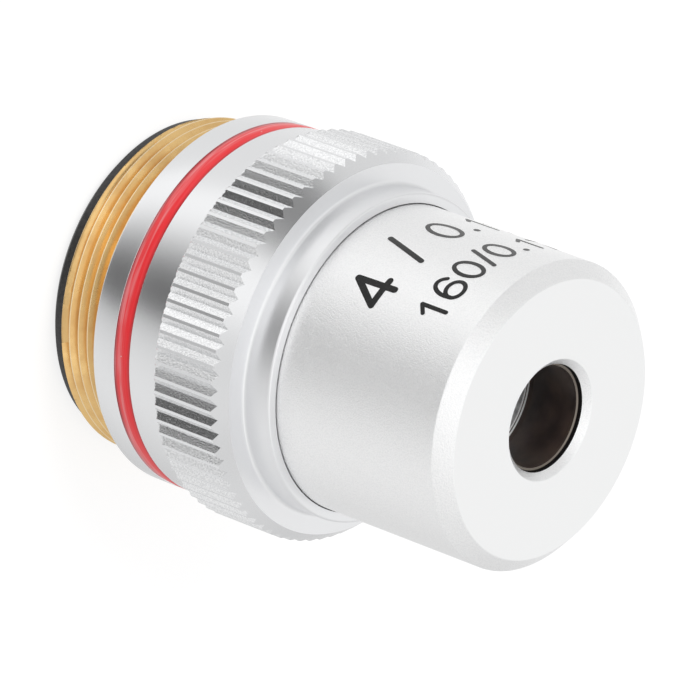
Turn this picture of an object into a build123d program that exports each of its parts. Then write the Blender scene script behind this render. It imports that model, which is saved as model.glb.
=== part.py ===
from build123d import *

import os
from math import copysign, isclose, pi, sqrt

# Low-power achromatic microscope objective, standing on its thread end with the nose up.
# Millimetres. The origin is on the optical axis in the plane of the mounting shoulder, and +Z
# runs along the axis from the mounting thread to the nose. Every piece is turned about +Z, and
# the diameters follow one another inwards and outwards from the mounting thread.

# Mounting thread, 0.8 inch by 36 threads per inch, modelled plain at its crest diameter
thread_diameter = 20.27
thread_length = 3.8
thread_lead = 0.4

# Flange in front of the thread, with the groove of the magnification band
shoulder_width = 0.965
flange_edge = 0.12
band_setback = 1.64
band_width = 1.2
band_to_knurl = 2.36
band_groove_depth = 0.4
band_recess = 0.05

# Straight-knurled grip ring, with a smooth cone turned on its front
knurl_height = 0.6
knurl_length = 5.3
knurl_teeth = 80
knurl_land = 0.2
knurl_depth = 0.27
cone_length = 0.82
cone_fall = 0.65

# Collar that the nose screws into
collar_step = 1.25
collar_length = 1.9
collar_edge = 0.18
collar_wall = 0.6

# Nose sleeve, with a threaded skirt behind its shoulder
nose_length = 12.49
nose_chamfer = 0.9
nose_entry = 0.8
nose_entry_clearance = 0.05
nose_thread_step = 0.65
nose_thread_length = 4.6
nose_thread_relief = 0.4
thread_clearance = 0.02
skirt_wall = 1.1
nose_plate_thickness = 2.0
front_bore_diameter = 6.34
front_bore_chamfer = 0.42
front_bore_land = 0.48
front_lip_width = 1.03

# Ring under the nose shoulder that sets the focusing distance
shim_thickness = 0.3

# Stack of cells inside the sleeve and the body
body_bore_step = 0.2
cell_clearance = 0.05
spigot_gap = 0.03
lens_clearance = 0.02
cement_gap = 0.03

# Front doublet and its cell: negative element towards the specimen
front_cell_wall = 2.73
front_seat_width = 0.65
front_seat_lip = 0.5
front_seat_edge = 0.1
front_flint_outer_radius = 112.0
front_inner_radius = 38.0
front_crown_outer_radius = 93.0
front_flint_thickness = 1.3
front_crown_thickness = 2.4

# Glare tube that lines the light path between the front bore and the front lens
glare_tube_collar = 2.64
glare_mouth_step = 0.19
glare_mouth_edge = 0.18

# Rear doublet and its cell: negative element towards the specimen
rear_cell_wall = 1.83
rear_seat_width = 0.6
rear_seat_lip = 0.92
rear_seat_flare = 0.5
rear_flint_outer_radius = 52.0
rear_inner_radius = 17.8
rear_crown_outer_radius = 21.5
rear_flint_thickness = 1.5
rear_crown_thickness = 3.4

# Rings that hold the doublets in their cells
front_ring_thickness = 1.2
front_ring_width = 0.7
front_ring_recess = 1.0
rear_ring_thickness = 1.1
rear_ring_width = 0.6
rear_ring_recess = 0.18
ring_slot_width = 0.8
ring_slot_depth = 0.5

# Spacer tube and aperture stop between the cells
spacer_wall = 0.85
stop_thickness = 0.5
stop_aperture = 7.0

# Lock ring that clamps the stack from behind
lock_ring_thickness = 1.5
lock_ring_width = 1.6
lock_ring_gap = 1.1
lock_slot_width = 1.2
lock_slot_depth = 0.8

# Black ring that closes the thread end
end_ring_step = 0.435
end_ring_thickness = 0.95
end_ring_chamfer = 0.43
end_ring_spigot_length = 1.0
end_ring_width = 2.4
end_ring_flare = 0.9
end_slot_width = 1.2
end_slot_depth = 0.6
end_slot_reach = 2.4

# Outer diameters, from the thread out to the grip and in again to the nose
flange_diameter = thread_diameter + 2 * shoulder_width
knurl_diameter = flange_diameter + 2 * knurl_height
cone_front_diameter = knurl_diameter - 2 * cone_fall
collar_diameter = cone_front_diameter - 2 * collar_step
nose_socket_diameter = collar_diameter - 2 * collar_wall
nose_diameter = nose_socket_diameter - 2 * nose_entry_clearance
end_ring_diameter = thread_diameter - 2 * end_ring_step

# Inner diameters, from the nose thread in to the lenses
nose_thread_diameter = nose_diameter - 2 * nose_thread_step
socket_thread_diameter = nose_thread_diameter + 2 * thread_clearance
sleeve_bore_diameter = nose_thread_diameter - 2 * skirt_wall
body_bore_diameter = sleeve_bore_diameter + 2 * body_bore_step
end_thread_diameter = body_bore_diameter - 2 * thread_clearance
end_ring_aperture = end_thread_diameter - 2 * end_ring_width
lock_ring_bore_diameter = end_thread_diameter - 2 * lock_ring_width
cell_diameter = sleeve_bore_diameter - 2 * cell_clearance
spacer_bore_diameter = cell_diameter - 2 * spacer_wall
front_pocket_diameter = cell_diameter - 2 * front_cell_wall
front_lens_diameter = front_pocket_diameter - 2 * lens_clearance
front_seat_diameter = front_lens_diameter - 2 * front_seat_width
front_ring_bore_diameter = front_lens_diameter - 2 * front_ring_width
rear_pocket_diameter = cell_diameter - 2 * rear_cell_wall
rear_lens_diameter = rear_pocket_diameter - 2 * lens_clearance
rear_seat_diameter = rear_lens_diameter - 2 * rear_seat_width
rear_ring_bore_diameter = rear_lens_diameter - 2 * rear_ring_width
pilot_bore_diameter = front_bore_diameter + 2 * front_lip_width
glare_mouth_diameter = front_bore_diameter - 2 * glare_mouth_step


def sagitta(sphere_radius, diameter):
    """Depth of a spherical surface between its vertex and a circle of this diameter."""
    return sphere_radius - sqrt(sphere_radius**2 - (diameter / 2) ** 2)


# Heights of the body and the nose
flange_length = band_setback + band_width + band_to_knurl
knurl_front = flange_length + knurl_length
cone_back = knurl_front - cone_length
collar_front = knurl_front + collar_length
nose_shoulder = collar_front - nose_entry
nose_seat = nose_shoulder - shim_thickness
sleeve_back = nose_shoulder - nose_thread_length
sleeve_floor = sleeve_back - nose_thread_relief
nose_front = collar_front + nose_length
nose_plate_back = nose_front - nose_plate_thickness
pilot_floor = nose_front - front_bore_chamfer - front_bore_land

# Heights of the glare tube, the front cell and its doublet, from the nose plate backwards
spigot_front = pilot_floor - spigot_gap
glare_throat = spigot_front - glare_mouth_edge
glare_tube_back = nose_plate_back - glare_tube_collar
front_seat = glare_tube_back - front_seat_lip
front_flint_front = front_seat + sagitta(front_flint_outer_radius, front_seat_diameter)
front_flint_back = front_flint_front - front_flint_thickness
front_crown_front = front_flint_back - cement_gap
front_crown_back = front_crown_front - front_crown_thickness
front_ring_front = front_crown_back + sagitta(front_crown_outer_radius, front_ring_bore_diameter)
front_ring_back = front_ring_front - front_ring_thickness
front_cell_back = front_ring_back - front_ring_recess

# Heights of the end ring, the lock ring and the rear cell, from the thread end forwards
end_ring_back = -thread_length - end_ring_thickness
end_spigot_front = -thread_length + end_ring_spigot_length
lock_ring_back = end_spigot_front + lock_ring_gap
rear_cell_back = lock_ring_back + lock_ring_thickness
rear_ring_back = rear_cell_back + rear_ring_recess
rear_ring_front = rear_ring_back + rear_ring_thickness
rear_crown_back = rear_ring_front - sagitta(rear_crown_outer_radius, rear_ring_bore_diameter)
rear_crown_front = rear_crown_back + rear_crown_thickness
rear_flint_back = rear_crown_front + cement_gap
rear_flint_front = rear_flint_back + rear_flint_thickness
rear_seat = rear_flint_front - sagitta(rear_flint_outer_radius, rear_seat_diameter)
rear_cell_front = rear_seat + rear_seat_lip
stop_front = rear_cell_front + stop_thickness


def ring_edge(part, diameter, height):
    """Circular edge of a turned part that has this diameter at this height."""
    return part.edges().filter_by(GeomType.CIRCLE).filter_by(
        lambda edge: isclose(edge.radius, diameter / 2, abs_tol=1e-4)
        and isclose(edge.arc_center.Z, height, abs_tol=1e-4)
    )


def spherical_lens(diameter, front, front_radius, back, back_radius):
    """Disc cut to two spherical faces. A radius is positive where its face bulges forwards."""
    spare_glass = diameter / 4
    back_mode = Mode.SUBTRACT if back_radius > 0 else Mode.INTERSECT
    with BuildPart() as lens:
        with BuildSketch(Plane.XY.offset(back - spare_glass)):
            Circle(diameter / 2)
        extrude(amount=front - back + 2 * spare_glass)
        with Locations((0, 0, front - front_radius)):
            Sphere(front_radius, rotation=(0, 90, 0), mode=Mode.INTERSECT)
        with Locations((0, 0, back - back_radius)):
            Sphere(abs(back_radius), rotation=(0, copysign(90, back_radius), 0), mode=back_mode)
    return lens.part


def slotted_ring(outer_diameter, bore_diameter, back, thickness, slot_width, slot_depth):
    """Flat ring with two spanner slots across its back face."""
    with BuildPart() as ring:
        with BuildSketch(Plane.XY.offset(back)):
            Circle(outer_diameter / 2)
            Circle(bore_diameter / 2, mode=Mode.SUBTRACT)
        extrude(amount=thickness)
        with BuildSketch(Plane.XY.offset(back)):
            with PolarLocations((outer_diameter + bore_diameter) / 4, 2):
                Rectangle(outer_diameter - bore_diameter, slot_width)
        extrude(amount=slot_depth, mode=Mode.SUBTRACT)
    return ring.part


os.makedirs("parts", exist_ok=True)

# Mount body: one brass turning with the thread, the flange, the knurled grip and the collar.
# The grip is knurled right through and its front is then turned to a cone, so that the
# grooves run out in points.
knurl_radius = knurl_diameter / 2
tooth_pitch = pi * knurl_diameter / knurl_teeth
groove_half_width = (tooth_pitch - knurl_land) / 2
groove_overrun = 0.1
groove_mouth = groove_half_width * (knurl_depth + groove_overrun) / knurl_depth

with BuildPart() as mount_body:
    with BuildSketch(Plane.XY.offset(flange_length)):
        Circle(knurl_radius)
        with PolarLocations(knurl_radius, knurl_teeth):
            Polygon(
                (-knurl_depth, 0),
                (groove_overrun, -groove_mouth),
                (groove_overrun, groove_mouth),
                align=None,
                mode=Mode.SUBTRACT,
            )
    extrude(amount=knurl_length)
    with BuildSketch(Plane.XZ):
        with BuildLine():
            Polyline(
                (0, flange_length),
                (knurl_radius, flange_length),
                (knurl_radius, cone_back),
                (cone_front_diameter / 2, knurl_front),
                (0, knurl_front),
                close=True,
            )
        make_face()
    revolve(axis=Axis.Z, mode=Mode.INTERSECT)
    with BuildSketch(Plane.XY.offset(-thread_length)):
        Circle(thread_diameter / 2)
    extrude(amount=thread_length)
    chamfer(ring_edge(mount_body, thread_diameter, -thread_length), thread_lead)
    with BuildSketch(Plane.XY):
        Circle(flange_diameter / 2)
    extrude(amount=flange_length)
    chamfer(ring_edge(mount_body, flange_diameter, 0), flange_edge)
    with BuildSketch(Plane.XY.offset(knurl_front)):
        Circle(collar_diameter / 2)
    extrude(amount=collar_length)
    chamfer(ring_edge(mount_body, collar_diameter, collar_front), collar_edge)
    with BuildSketch(Plane.XY.offset(band_setback)):
        Circle(flange_diameter / 2 + band_groove_depth)
        Circle(flange_diameter / 2 - band_groove_depth, mode=Mode.SUBTRACT)
    extrude(amount=band_width, mode=Mode.SUBTRACT)
    with BuildSketch(Plane.XY.offset(-thread_length)):
        Circle(body_bore_diameter / 2)
    extrude(amount=thread_length + collar_front, mode=Mode.SUBTRACT)
    with BuildSketch(Plane.XY.offset(sleeve_floor)):
        Circle(socket_thread_diameter / 2)
    extrude(amount=collar_front - sleeve_floor, mode=Mode.SUBTRACT)
    with BuildSketch(Plane.XY.offset(nose_seat)):
        Circle(nose_socket_diameter / 2)
    extrude(amount=collar_front - nose_seat, mode=Mode.SUBTRACT)
mount_body.part.label = "mount_body"
export_step(mount_body.part, "parts/mount_body.step")

# Colour band: a ring of enamel laid in the groove of the flange, just below its surface
with BuildPart() as colour_band:
    with BuildSketch(Plane.XY.offset(band_setback)):
        Circle(flange_diameter / 2 - band_recess)
        Circle(flange_diameter / 2 - band_groove_depth, mode=Mode.SUBTRACT)
    extrude(amount=band_width)
colour_band.part.label = "colour_band"
export_step(colour_band.part, "parts/colour_band.step")

# Nose sleeve: a turned cap with a threaded skirt, a stepped front bore and a broad chamfer
with BuildPart() as nose_sleeve:
    with BuildSketch(Plane.XY.offset(sleeve_back)):
        Circle(nose_thread_diameter / 2)
    extrude(amount=nose_thread_length)
    with BuildSketch(Plane.XY.offset(nose_shoulder)):
        Circle(nose_diameter / 2)
    extrude(amount=nose_front - nose_shoulder)
    chamfer(ring_edge(nose_sleeve, nose_diameter, nose_front), nose_chamfer)
    with BuildSketch(Plane.XY.offset(sleeve_back)):
        Circle(sleeve_bore_diameter / 2)
    extrude(amount=nose_plate_back - sleeve_back, mode=Mode.SUBTRACT)
    with BuildSketch(Plane.XY.offset(nose_plate_back)):
        Circle(pilot_bore_diameter / 2)
    extrude(amount=pilot_floor - nose_plate_back, mode=Mode.SUBTRACT)
    with BuildSketch(Plane.XY.offset(pilot_floor)):
        Circle(front_bore_diameter / 2)
    extrude(amount=nose_front - pilot_floor, mode=Mode.SUBTRACT)
    chamfer(ring_edge(nose_sleeve, front_bore_diameter, nose_front), front_bore_chamfer)
nose_sleeve.part.label = "nose_sleeve"
export_step(nose_sleeve.part, "parts/nose_sleeve.step")

# Shim: a flat brass ring between the seat in the collar and the shoulder of the nose
with BuildPart() as parfocal_shim:
    with BuildSketch(Plane.XY.offset(nose_seat)):
        Circle(nose_diameter / 2)
        Circle(socket_thread_diameter / 2, mode=Mode.SUBTRACT)
    extrude(amount=shim_thickness)
parfocal_shim.part.label = "parfocal_shim"
export_step(parfocal_shim.part, "parts/parfocal_shim.step")

# Glare tube: black turning with a pilot in the nose plate and a bore that opens towards the lens
with BuildPart() as front_glare_tube:
    with BuildSketch(Plane.XY.offset(glare_tube_back)):
        Circle(cell_diameter / 2)
    extrude(amount=glare_tube_collar)
    with BuildSketch(Plane.XY.offset(nose_plate_back)):
        Circle(pilot_bore_diameter / 2 - cell_clearance)
    extrude(amount=spigot_front - nose_plate_back)
    with BuildSketch(Plane.XZ):
        with BuildLine():
            Polyline(
                (0, glare_tube_back),
                (front_seat_diameter / 2, glare_tube_back),
                (glare_mouth_diameter / 2, glare_throat),
                (glare_mouth_diameter / 2 + glare_mouth_edge, spigot_front),
                (0, spigot_front),
                close=True,
            )
        make_face()
    revolve(axis=Axis.Z, mode=Mode.SUBTRACT)
front_glare_tube.part.label = "front_glare_tube"
export_step(front_glare_tube.part, "parts/front_glare_tube.step")

# Front lens cell: short tube with a seat lip at its front and a pocket bored from behind for
# the doublet and its ring
with BuildPart() as front_lens_cell:
    with BuildSketch(Plane.XY.offset(front_cell_back)):
        Circle(cell_diameter / 2)
        Circle(front_seat_diameter / 2, mode=Mode.SUBTRACT)
    extrude(amount=glare_tube_back - front_cell_back)
    chamfer(ring_edge(front_lens_cell, front_seat_diameter, glare_tube_back), front_seat_edge)
    with BuildSketch(Plane.XY.offset(front_cell_back)):
        Circle(front_pocket_diameter / 2)
    extrude(amount=front_seat - front_cell_back, mode=Mode.SUBTRACT)
front_lens_cell.part.label = "front_lens_cell"
export_step(front_lens_cell.part, "parts/front_lens_cell.step")

# Front flint lens: outer face slightly domed towards the specimen, inner face hollow
front_flint_lens = spherical_lens(
    front_lens_diameter,
    front_flint_front,
    front_flint_outer_radius,
    front_flint_back,
    front_inner_radius,
)
front_flint_lens.label = "front_flint_lens"
export_step(front_flint_lens, "parts/front_flint_lens.step")

# Front crown lens: domed on both faces, cemented into the hollow of the flint
front_crown_lens = spherical_lens(
    front_lens_diameter,
    front_crown_front,
    front_inner_radius,
    front_crown_back,
    -front_crown_outer_radius,
)
front_crown_lens.label = "front_crown_lens"
export_step(front_crown_lens, "parts/front_crown_lens.step")

# Front retaining ring: screwed in behind the front doublet, with two spanner slots
front_retaining_ring = slotted_ring(
    front_lens_diameter,
    front_ring_bore_diameter,
    front_ring_back,
    front_ring_thickness,
    ring_slot_width,
    ring_slot_depth,
)
front_retaining_ring.label = "front_retaining_ring"
export_step(front_retaining_ring, "parts/front_retaining_ring.step")

# Spacer tube: keeps the front cell and the aperture stop apart
with BuildPart() as spacer_tube:
    with BuildSketch(Plane.XY.offset(stop_front)):
        Circle(cell_diameter / 2)
        Circle(spacer_bore_diameter / 2, mode=Mode.SUBTRACT)
    extrude(amount=front_cell_back - stop_front)
spacer_tube.part.label = "spacer_tube"
export_step(spacer_tube.part, "parts/spacer_tube.step")

# Aperture stop: thin blackened washer in front of the rear cell
with BuildPart() as aperture_stop:
    with BuildSketch(Plane.XY.offset(rear_cell_front)):
        Circle(cell_diameter / 2)
        Circle(stop_aperture / 2, mode=Mode.SUBTRACT)
    extrude(amount=stop_thickness)
aperture_stop.part.label = "aperture_stop"
export_step(aperture_stop.part, "parts/aperture_stop.step")

# Rear lens cell: short tube with a seat lip at its front and a pocket bored from behind for
# the doublet and its ring
with BuildPart() as rear_lens_cell:
    with BuildSketch(Plane.XY.offset(rear_cell_back)):
        Circle(cell_diameter / 2)
        Circle(rear_seat_diameter / 2, mode=Mode.SUBTRACT)
    extrude(amount=rear_cell_front - rear_cell_back)
    chamfer(ring_edge(rear_lens_cell, rear_seat_diameter, rear_cell_front), rear_seat_flare)
    with BuildSketch(Plane.XY.offset(rear_cell_back)):
        Circle(rear_pocket_diameter / 2)
    extrude(amount=rear_seat - rear_cell_back, mode=Mode.SUBTRACT)
rear_lens_cell.part.label = "rear_lens_cell"
export_step(rear_lens_cell.part, "parts/rear_lens_cell.step")

# Rear flint lens: outer face domed towards the specimen, inner face hollow
rear_flint_lens = spherical_lens(
    rear_lens_diameter,
    rear_flint_front,
    rear_flint_outer_radius,
    rear_flint_back,
    rear_inner_radius,
)
rear_flint_lens.label = "rear_flint_lens"
export_step(rear_flint_lens, "parts/rear_flint_lens.step")

# Rear crown lens: domed on both faces, cemented into the hollow of the flint
rear_crown_lens = spherical_lens(
    rear_lens_diameter,
    rear_crown_front,
    rear_inner_radius,
    rear_crown_back,
    -rear_crown_outer_radius,
)
rear_crown_lens.label = "rear_crown_lens"
export_step(rear_crown_lens, "parts/rear_crown_lens.step")

# Rear retaining ring: screwed in behind the rear doublet, with two spanner slots
rear_retaining_ring = slotted_ring(
    rear_lens_diameter,
    rear_ring_bore_diameter,
    rear_ring_back,
    rear_ring_thickness,
    ring_slot_width,
    ring_slot_depth,
)
rear_retaining_ring.label = "rear_retaining_ring"
export_step(rear_retaining_ring, "parts/rear_retaining_ring.step")

# Lock ring: screwed into the body bore, it clamps both cells, the stop and the spacer
# against the nose plate
rear_lock_ring = slotted_ring(
    end_thread_diameter,
    lock_ring_bore_diameter,
    lock_ring_back,
    lock_ring_thickness,
    lock_slot_width,
    lock_slot_depth,
)
rear_lock_ring.label = "rear_lock_ring"
export_step(rear_lock_ring, "parts/rear_lock_ring.step")

# Rear end ring: black flanged ring screwed into the thread end, with a flared light opening
# and two slots across its face
with BuildPart() as rear_end_ring:
    with BuildSketch(Plane.XY.offset(end_ring_back)):
        Circle(end_ring_diameter / 2)
    extrude(amount=end_ring_thickness)
    chamfer(ring_edge(rear_end_ring, end_ring_diameter, end_ring_back), end_ring_chamfer)
    with BuildSketch(Plane.XY.offset(-thread_length)):
        Circle(end_thread_diameter / 2)
    extrude(amount=end_ring_spigot_length)
    with BuildSketch(Plane.XY.offset(end_ring_back)):
        Circle(end_ring_aperture / 2)
    extrude(amount=end_spigot_front - end_ring_back, mode=Mode.SUBTRACT)
    chamfer(ring_edge(rear_end_ring, end_ring_aperture, end_ring_back), end_ring_flare)
    with BuildSketch(Plane.XY.offset(end_ring_back)):
        with PolarLocations(end_ring_aperture / 2 + end_slot_reach / 2, 2, start_angle=90):
            Rectangle(end_slot_reach, end_slot_width)
    extrude(amount=end_slot_depth, mode=Mode.SUBTRACT)
rear_end_ring.part.label = "rear_end_ring"
export_step(rear_end_ring.part, "parts/rear_end_ring.step")
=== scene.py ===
import math
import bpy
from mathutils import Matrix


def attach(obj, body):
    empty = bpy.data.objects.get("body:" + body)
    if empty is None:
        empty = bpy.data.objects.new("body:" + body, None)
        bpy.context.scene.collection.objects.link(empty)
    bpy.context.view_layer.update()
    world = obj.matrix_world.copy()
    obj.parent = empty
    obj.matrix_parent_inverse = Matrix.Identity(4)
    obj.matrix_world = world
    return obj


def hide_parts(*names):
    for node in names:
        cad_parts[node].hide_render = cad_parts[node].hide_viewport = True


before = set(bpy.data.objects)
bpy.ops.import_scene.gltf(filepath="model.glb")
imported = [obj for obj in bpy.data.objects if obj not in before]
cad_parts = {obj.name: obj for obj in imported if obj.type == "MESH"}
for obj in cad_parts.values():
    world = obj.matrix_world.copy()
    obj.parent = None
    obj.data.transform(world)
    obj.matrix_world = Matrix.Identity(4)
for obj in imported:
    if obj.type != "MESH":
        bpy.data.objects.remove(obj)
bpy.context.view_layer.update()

from types import SimpleNamespace

import bmesh
import bpy
from mathutils import Matrix, Vector

mm = 0.001

# Mount body: one brass turning with the mounting thread, the flange, the knurled grip and the
# collar for the nose. It is chromed all over except on the thread and in the bores. The grip is
# knurled right through and then turned to a cone at its front, where the grooves run out.
thread_end = -3.8 * mm
thread_root_radius = 9.69 * mm
flange_radius = 11.1 * mm
band_floor_radius = 10.7 * mm
band_back = 1.64 * mm
band_front = 2.84 * mm
flange_front = 5.2 * mm
land_radius = 11.7 * mm
flank_radius = 11.575 * mm
groove_radius = 11.45 * mm
grip_back_edge = 0.15 * mm
cone_back = 9.68 * mm
cone_front = 10.5 * mm
cone_front_radius = 11.05 * mm
cone_slope = (cone_front - cone_back) / (land_radius - cone_front_radius)
collar_radius = 9.8 * mm
collar_front = 12.4 * mm
collar_root_fillet = 0.25 * mm
collar_edge = 0.16 * mm
socket_radius = 9.2 * mm
socket_floor = 11.3 * mm
nose_thread_radius = 8.52 * mm
nose_thread_floor = 6.6 * mm
body_bore_radius = 7.6 * mm
grip_teeth = 80
grip_turn = math.radians(-1.2)
body_points = 5 * grip_teeth


def only(piece):
    """Makes this object the only selected and active one."""
    bpy.ops.object.select_all(action="DESELECT")
    piece.select_set(True)
    bpy.context.view_layer.objects.active = piece


def start_ring(name, radius, height, points, fill="NOTHING"):
    """Adds a circle round the axis and leaves it selected in edit mode."""
    bpy.ops.object.select_all(action="DESELECT")
    bpy.ops.mesh.primitive_circle_add(
        vertices=points, radius=radius, fill_type=fill, location=(0, 0, height)
    )
    piece = bpy.context.object
    piece.name = piece.data.name = name
    bpy.ops.object.transform_apply(location=True, rotation=True, scale=True)
    bpy.ops.object.mode_set(mode="EDIT")
    bpy.ops.mesh.select_mode(type="VERT")
    bpy.ops.mesh.select_all(action="SELECT")
    return piece


def follow(outline, radius, height):
    """Extrudes the selected ring from point to point of an outline and returns where it ends."""
    for next_radius, next_height in outline:
        rise = (0, 0, next_height - height)
        bpy.ops.mesh.extrude_region_move(TRANSFORM_OT_translate={"value": rise})
        wider = next_radius / radius
        if abs(wider - 1) > 1e-9:
            bpy.ops.transform.resize(value=(wider, wider, 1), center_override=(0, 0, 0))
        radius, height = next_radius, next_height
    return radius, height


def close_up(piece, smooth_below):
    """Joins the last ring to the first, turns the faces outwards and smooths gentle corners."""
    bpy.ops.mesh.select_all(action="SELECT")
    bpy.ops.mesh.remove_doubles(threshold=0.0005 * mm)
    bpy.ops.mesh.normals_make_consistent(inside=False)
    bpy.ops.object.mode_set(mode="OBJECT")
    only(piece)
    bpy.ops.object.shade_smooth_by_angle(angle=math.radians(smooth_below))
    bpy.ops.object.modifier_add(type="WEIGHTED_NORMAL")
    piece.modifiers[-1].keep_sharp = True
    bpy.ops.object.modifier_apply(modifier=piece.modifiers[-1].name)


def eased(corners, size, steps=3):
    """Outline with its inner corners rounded. A corner is (radius, height), or (radius, height,
    its own size)."""
    outline = [tuple(corners[0][:2])]
    for i in range(1, len(corners) - 1):
        here = Vector(corners[i][:2])
        before = Vector(corners[i - 1][:2])
        after = Vector(corners[i + 1][:2])
        ease = corners[i][2] if len(corners[i]) > 2 else size
        first = here + (before - here).normalized() * ease
        last = here + (after - here).normalized() * ease
        for step in range(steps + 1):
            share = step / steps
            outline.append(tuple(first.lerp(here, share).lerp(here.lerp(last, share), share)))
    outline.append(tuple(corners[-1][:2]))
    return outline


def next_teeth(old, new):
    """Extrudes the selected ring of the grip. Of the five points of each tooth one lies in the
    groove, one on each flank and two on the land. The old and new places are (radius, height)
    of the groove, the flank and the land."""
    bpy.ops.mesh.extrude_region_move()
    data = bpy.context.object.data
    mesh = bmesh.from_edit_mesh(data)
    mesh.verts.index_update()
    ring = [v.index for v in mesh.verts if v.select]
    for share, (old_radius, old_height), (radius, height) in zip((0.0, 0.2, 0.4), old, new):
        bpy.ops.mesh.select_all(action="DESELECT")
        mesh = bmesh.from_edit_mesh(data)
        mesh.verts.ensure_lookup_table()
        for i in ring:
            turn = math.atan2(mesh.verts[i].co.y, mesh.verts[i].co.x) - grip_turn
            turn = turn * grip_teeth / (2 * math.pi) % 1.0
            if abs(min(turn, 1 - turn) - share) < 0.05:
                mesh.verts[i].select_set(True)
        bmesh.update_edit_mesh(data)
        wider = radius / old_radius
        bpy.ops.transform.resize(value=(wider, wider, 1), center_override=(0, 0, 0))
        bpy.ops.transform.translate(value=(0, 0, height - old_height))
    mesh = bmesh.from_edit_mesh(data)
    mesh.verts.ensure_lookup_table()
    for i in ring:
        mesh.verts[i].select_set(True)
    mesh.select_flush(True)
    bmesh.update_edit_mesh(data)


back_outline = eased(
    [
        (body_bore_radius, thread_end),
        (thread_root_radius, thread_end, 0.04 * mm),
        (thread_root_radius, 0, 0.04 * mm),
        (flange_radius, 0, 0.1 * mm),
        (flange_radius, band_back, 0.02 * mm),
        (band_floor_radius, band_back, 0.02 * mm),
        (band_floor_radius, band_front, 0.02 * mm),
        (flange_radius, band_front, 0.02 * mm),
        (flange_radius, flange_front),
    ],
    0,
)
tooth_rings = [
    [(flange_radius, flange_front)] * 3,
    [
        (groove_radius, flange_front),
        (land_radius - grip_back_edge, flange_front),
        (land_radius - grip_back_edge, flange_front),
    ],
    [
        (groove_radius, flange_front + grip_back_edge),
        (flank_radius, flange_front + grip_back_edge),
        (land_radius, flange_front + grip_back_edge),
    ],
    [
        (groove_radius, cone_back + (land_radius - groove_radius) * cone_slope),
        (flank_radius, cone_back + (land_radius - flank_radius) * cone_slope),
        (land_radius, cone_back),
    ],
    [(cone_front_radius, cone_front)] * 3,
]
front_outline = eased(
    [
        (cone_front_radius, cone_front),
        (collar_radius, cone_front, collar_root_fillet),
        (collar_radius, collar_front, collar_edge),
        (socket_radius, collar_front, 0.05 * mm),
        (socket_radius, socket_floor, 0.02 * mm),
        (nose_thread_radius, socket_floor, 0.02 * mm),
        (nose_thread_radius, nose_thread_floor, 0.02 * mm),
        (body_bore_radius, nose_thread_floor, 0.02 * mm),
        (body_bore_radius, thread_end),
    ],
    0,
    5,
)
mount_body = start_ring("mount_body_turning", *back_outline[0], body_points)
bpy.ops.transform.rotate(value=-grip_turn, orient_axis="Z", center_override=(0, 0, 0))
follow(back_outline[1:], *back_outline[0])
for ring_behind, ring_ahead in zip(tooth_rings, tooth_rings[1:]):
    next_teeth(ring_behind, ring_ahead)
follow(front_outline[1:], *front_outline[0])
close_up(mount_body, 32)


def new_finish(name):
    """A new material and its shader."""
    finish = bpy.data.materials.new(name)
    finish.use_nodes = True
    shader = finish.node_tree.nodes["Principled BSDF"]
    return finish, shader


def node(finish, kind, links={}, **settings):
    """Adds a node. Settings are its own attributes or its sockets' values, and links feed its
    sockets by name or number."""
    made = finish.node_tree.nodes.new(kind)
    for name, value in settings.items():
        setattr(made, name, value)
    for socket, source in links.items():
        if isinstance(source, bpy.types.NodeSocket):
            finish.node_tree.links.new(source, made.inputs[socket])
        else:
            made.inputs[socket].default_value = source
    return made


def noise(finish, place, scale, detail=2.0, roughness=0.5):
    """Noise of this scale along a coordinate."""
    settings = {"Vector": place, "Scale": scale, "Detail": detail, "Roughness": roughness}
    return node(finish, "ShaderNodeTexNoise", settings).outputs[0]


def bump(finish, height, strength, distance):
    """Normal bent by a height."""
    settings = {"Height": height, "Strength": strength, "Distance": distance}
    return node(finish, "ShaderNodeBump", settings).outputs[0]


def blend(finish, share, first, second):
    """Mix of two colours."""
    made = node(finish, "ShaderNodeMix", {0: share, 6: first, 7: second}, data_type="RGBA")
    return made.outputs[2]


def turned_place(finish):
    """Coordinates of the piece: the place itself, x, y, height, radius, and the ring (radius, 0,
    height), along which turning marks are rings."""
    place = node(finish, "ShaderNodeTexCoord").outputs["Object"]
    x, y, height = node(finish, "ShaderNodeSeparateXYZ", {0: place}).outputs
    flat = node(finish, "ShaderNodeCombineXYZ", {0: x, 1: y}).outputs[0]
    radius = node(finish, "ShaderNodeVectorMath", {0: flat}, operation="LENGTH").outputs["Value"]
    ring = node(finish, "ShaderNodeCombineXYZ", {0: radius, 2: height}).outputs[0]
    return SimpleNamespace(place=place, x=x, y=y, height=height, radius=radius, ring=ring)


def between(finish, value, low, high, out_low=0.0, out_high=1.0):
    """Value spread from low...high to out_low...out_high, held at the ends."""
    spread = node(
        finish,
        "ShaderNodeMapRange",
        {0: value, 1: low, 2: high, 3: out_low, 4: out_high},
    )
    return spread.outputs[0]


def times(finish, first, second):
    """Product of two values."""
    return node(finish, "ShaderNodeMath", {0: first, 1: second}, operation="MULTIPLY").outputs[0]


def turned_sheen(finish, shader, strength):
    """Stretches the highlights across the turning marks, which run round the axis."""
    tangent = node(finish, "ShaderNodeTangent", direction_type="RADIAL", axis="Z")
    finish.node_tree.links.new(tangent.outputs[0], shader.inputs["Tangent"])
    shader.inputs["Anisotropic"].default_value = strength


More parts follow.
